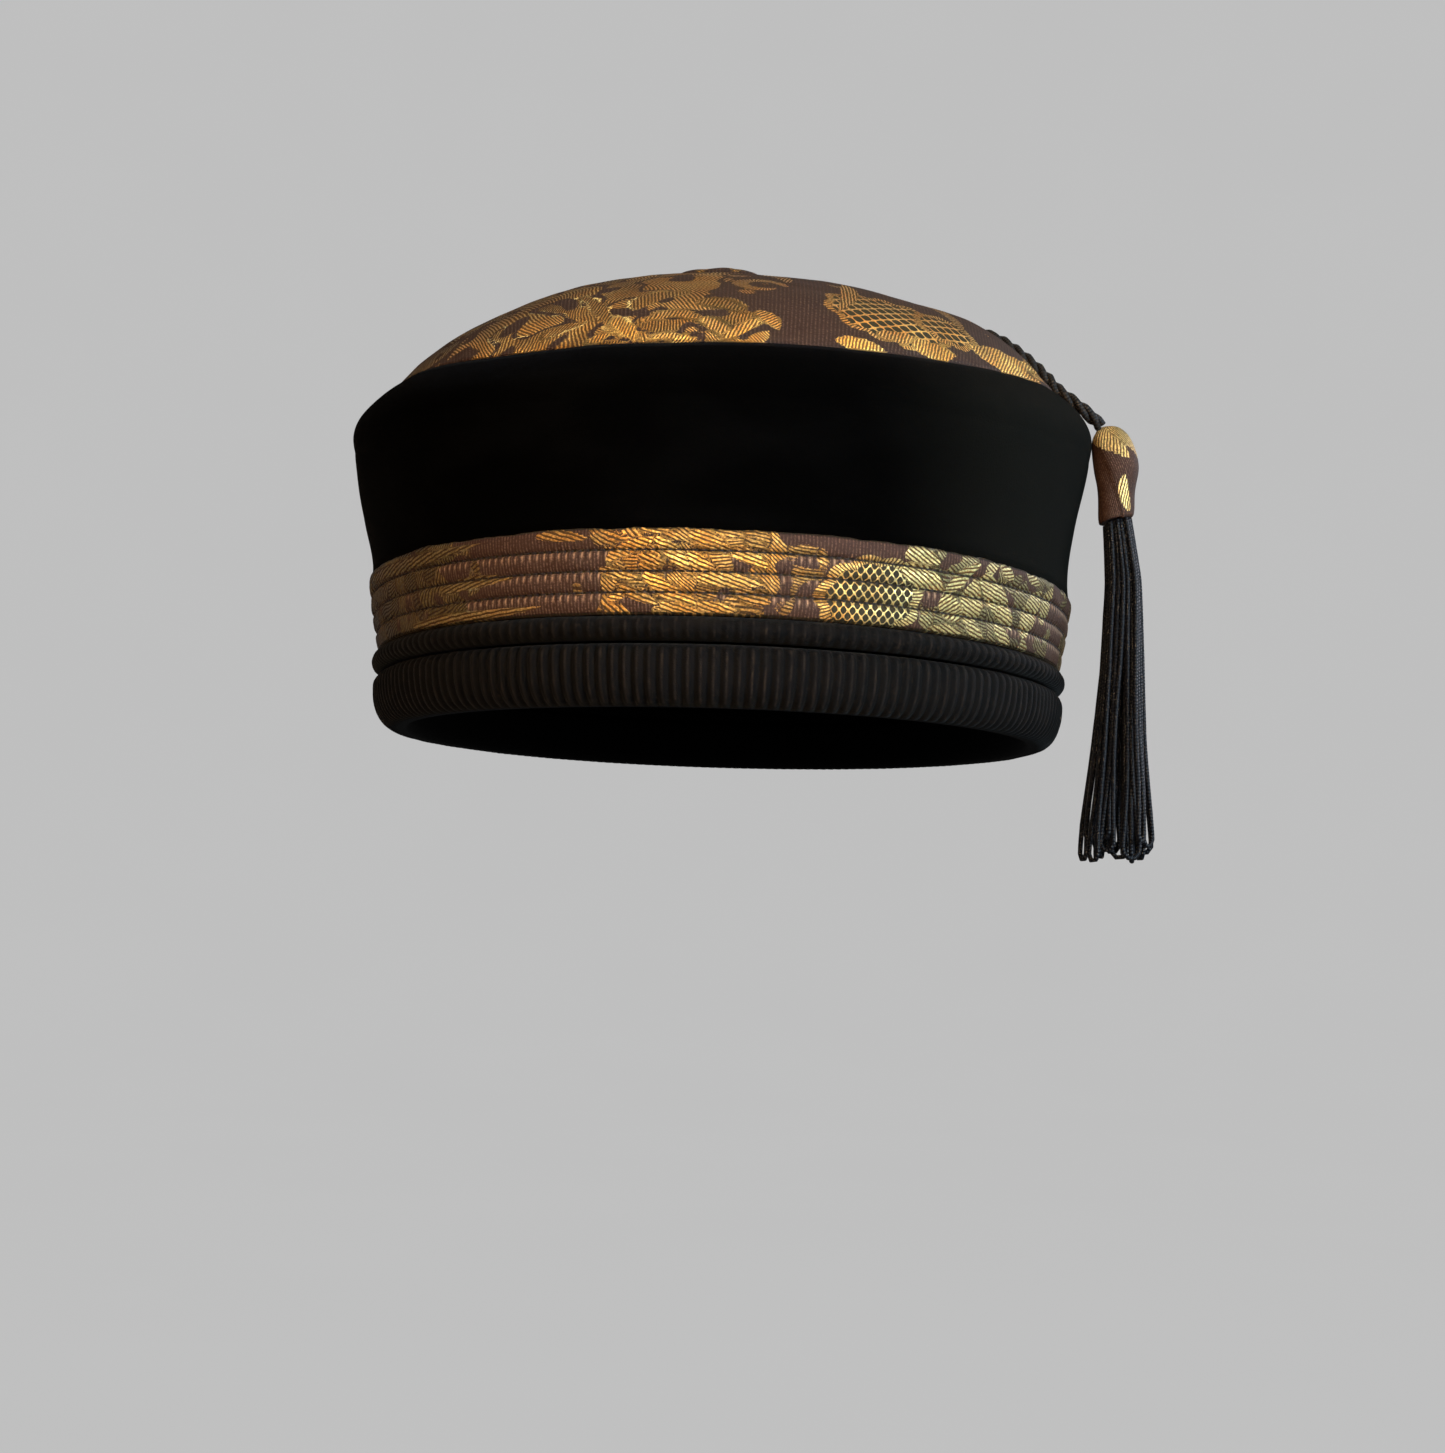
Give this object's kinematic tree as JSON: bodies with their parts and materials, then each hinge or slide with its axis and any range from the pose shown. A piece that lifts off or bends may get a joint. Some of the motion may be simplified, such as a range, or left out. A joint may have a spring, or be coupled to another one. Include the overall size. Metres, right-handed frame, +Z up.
{
  "type": "smoking cap",
  "caption": "Round smoking cap with a domed brocade top and covered button, velvet sides, quilted brocade band, ribbed cuff and a corded tassel.",
  "frame": {"origin": "centre of the head opening, level with the cuff's lower edge", "axes": "+Z up through the crown, front of the cap towards -Y, the wearer's left and the tassel towards +X"},
  "size_m": [0.2263, 0.2246, 0.1705],
  "materials": {
    "brocade": "woven floral brocade, gold thread on dark plum brown",
    "velvet": "black velvet pile",
    "ribbed_cloth": "near-black ribbed cloth",
    "tassel_cord": "black plaited cord",
    "tassel_yarn": "black chainette yarn with fine cross ribs"
  },
  "bodies": {
    "root": {"crown_top": "brocade", "crown_button": "brocade", "velvet_wall": "velvet", "brocade_band": "brocade", "cuff_welt": "ribbed_cloth", "cuff": "ribbed_cloth", "tassel_cord": "tassel_cord", "tassel_head": "brocade", "tassel_skirt": "tassel_yarn"}
  },
  "joints": []
}
